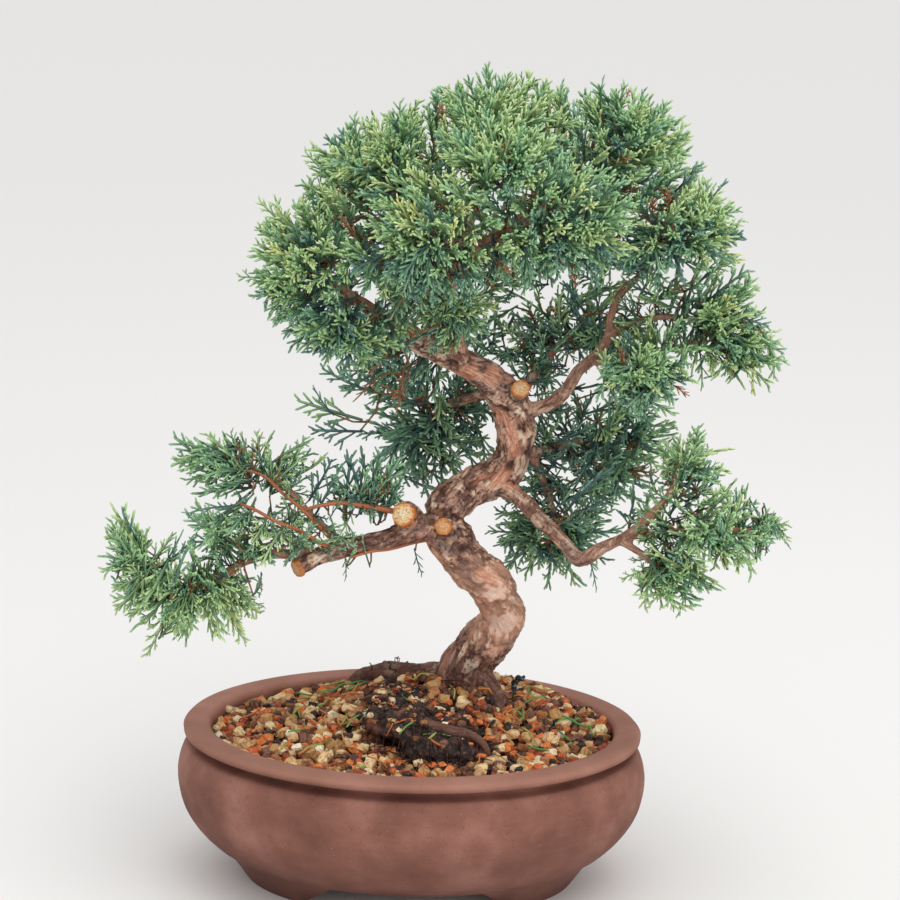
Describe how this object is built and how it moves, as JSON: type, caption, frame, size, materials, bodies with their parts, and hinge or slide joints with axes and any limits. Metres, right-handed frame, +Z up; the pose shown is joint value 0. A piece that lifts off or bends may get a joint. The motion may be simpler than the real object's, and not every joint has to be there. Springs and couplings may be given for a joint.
{
  "type": "juniper bonsai",
  "caption": "Juniper bonsai with an S-curved trunk and loose pads of feathery scale foliage, growing from a gravelly mound in a low oval unglazed pot.",
  "frame": {"origin": "middle of the outer box on the table plane, under the pot", "axes": "+Z up from the table to the crown, +X to the right in the picture, +Y away from the viewer"},
  "size_m": [0.286, 0.158, 0.35],
  "materials": {
    "clay": "unglazed red-brown stoneware, matt and finely pitted",
    "mesh": "black moulded plastic mesh",
    "wire": "dark anodised training wire",
    "grit": "loose mixed pumice, fired clay and dark lava grains",
    "peat": "dark fibrous mat of fine roots and old peat",
    "bark": "flaking red-brown juniper bark with smoother orange patches",
    "leaf": "living scale leaves, satin, yellow-green at the tips"
  },
  "bodies": {
    "root": {"anchor_wire": "wire", "back_left_branch": "bark", "back_right_branch": "bark", "back_upper_branch": "bark", "crown_back_left_branch": "bark", "crown_back_right_branch": "bark", "crown_front_branch": "bark", "crown_leader": "bark", "crown_left_branch": "bark", "crown_right_branch": "bark", "crown_upper_left_branch": "bark", "drain_screen_left": "mesh", "drain_screen_right": "mesh", "foliage_apex": "leaf", "foliage_back_left": "leaf", "foliage_back_low": "leaf", "foliage_back_right": "leaf", "foliage_back_upper": "leaf", "foliage_crown_back_left": "leaf", "foliage_crown_back_right": "leaf", "foliage_crown_front": "leaf", "foliage_crown_front_right": "leaf", "foliage_crown_left": "leaf", "foliage_crown_right": "leaf", "foliage_crown_upper_left": "leaf", "foliage_left_inner": "leaf", "foliage_left_low": "leaf", "foliage_left_middle": "leaf", "foliage_left_upper": "leaf", "foliage_low_right": "leaf", "foliage_right": "leaf", "foliage_right_front": "leaf", "foliage_shoulder_right": "leaf", "left_branch": "bark", "left_twig": "bark", "low_right_branch": "bark", "pot": "clay", "root_mat": "peat", "screen_clip_left": "wire", "screen_clip_right": "wire", "soil": "grit", "trunk": "bark", "upper_right_branch": "bark"}
  },
  "joints": []
}
